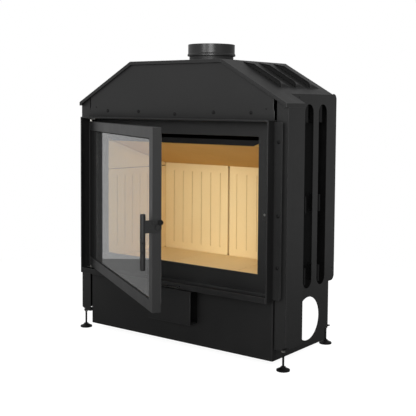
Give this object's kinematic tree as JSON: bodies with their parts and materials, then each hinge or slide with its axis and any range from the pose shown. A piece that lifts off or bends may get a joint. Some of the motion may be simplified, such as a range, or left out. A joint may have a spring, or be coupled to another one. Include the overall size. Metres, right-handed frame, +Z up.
{
  "type": "fireplace insert",
  "caption": "Built-in steel fireplace insert with a side-hinged glass door, lined firebox, pitched hood with louvres and a round flue collar, standing on levelling feet.",
  "frame": {"origin": "on the floor, under the middle of the insert's footprint with its door standing open as drawn", "axes": "+X to the right seen from the front, +Y to the back, +Z up along the flue"},
  "size_m": [0.991, 0.9358, 1.136],
  "materials": {
    "black_paint": "satin heat-proof black paint",
    "dark_trim": "matt black paint",
    "collar_paint": "satin dark grey paint",
    "bright_steel": "zinc-plated, lightly brushed",
    "foot_black": "black oxide with slight wear",
    "firebrick": "matt pressed refractory board, fine grain",
    "glass": "clear ceramic glass, polished",
    "gasket_rope": "braided dark sealing rope"
  },
  "bodies": {
    "insert": {"air_box": "black_paint", "air_wash_strip": "dark_trim", "back_lining_left": "firebrick", "back_lining_right": "firebrick", "back_panel": "black_paint", "baffle": "firebrick", "corner_post_left": "black_paint", "corner_post_right": "black_paint", "cover_strip_left": "black_paint", "cover_strip_right": "black_paint", "face_frame": "black_paint", "firebox_casing": "black_paint", "floor_tile_left": "firebrick", "floor_tile_middle": "firebrick", "floor_tile_right": "firebrick", "flue_collar": "collar_paint", "flue_neck": "collar_paint", "foot_nut_front_left": "bright_steel", "foot_nut_front_right": "bright_steel", "foot_nut_rear_left": "bright_steel", "foot_nut_rear_right": "bright_steel", "hinge_bracket_bottom": "bright_steel", "hinge_bracket_top": "bright_steel", "hinge_pin_bottom": "bright_steel", "hinge_pin_top": "bright_steel", "hood_front_plate": "black_paint", "hood_slope_left": "black_paint", "hood_slope_right": "black_paint", "hood_top": "black_paint", "inlet_cover": "black_paint", "keeper_bolt": "bright_steel", "keeper_plate": "black_paint", "plinth_front": "black_paint", "screws": "black_paint", "side_fins_left": "black_paint", "side_fins_right": "black_paint", "side_lining_left": "firebrick", "side_lining_right": "firebrick", "side_lining_upper_left": "firebrick", "side_lining_upper_right": "firebrick", "side_sheet_left": "black_paint", "side_sheet_right": "black_paint", "surround_floor": "black_paint", "surround_top": "black_paint", "surround_wall_left": "black_paint", "surround_wall_right": "black_paint"},
    "door": {"door_frame": "black_paint", "door_hinge_trim": "dark_trim", "door_glass": "glass", "door_gasket": "gasket_rope", "door_glass_clips": "black_paint"},
    "handle": {"handle_bar": "black_paint", "handle_plate": "black_paint", "handle_pivot_bolt": "black_paint", "latch_roller": "black_paint"},
    "air_control": {"air_slide": "black_paint"},
    "front_left_foot": {"foot_front_left": "foot_black"},
    "front_right_foot": {"foot_front_right": "foot_black"},
    "rear_left_foot": {"foot_rear_left": "foot_black"},
    "rear_right_foot": {"foot_rear_right": "foot_black"}
  },
  "joints": [
    {"name": "door_hinge", "type": "hinge", "parent": "insert", "child": "door", "pos_m": [-0.42235, 0.01908, 0.55], "axis": [0, 0, -1], "range_deg": [-32.1, 62.9]},
    {"name": "handle_pivot", "type": "hinge", "parent": "door", "child": "handle", "pos_m": [0.29945, -0.42296, 0.5297], "axis": [-0.8471, 0.5314, 0], "range_deg": [0, 20]},
    {"name": "air_slide_travel", "type": "slide", "parent": "insert", "child": "air_control", "axis": [1, 0, 0], "range_m": [0, 0.06]},
    {"name": "front_left_foot_height", "type": "slide", "parent": "insert", "child": "front_left_foot", "axis": [0, 0, 1], "range_m": [-0.015, 0.02]},
    {"name": "front_right_foot_height", "type": "slide", "parent": "insert", "child": "front_right_foot", "axis": [0, 0, 1], "range_m": [-0.015, 0.02]},
    {"name": "rear_left_foot_height", "type": "slide", "parent": "insert", "child": "rear_left_foot", "axis": [0, 0, 1], "range_m": [-0.015, 0.02]},
    {"name": "rear_right_foot_height", "type": "slide", "parent": "insert", "child": "rear_right_foot", "axis": [0, 0, 1], "range_m": [-0.015, 0.02]}
  ]
}
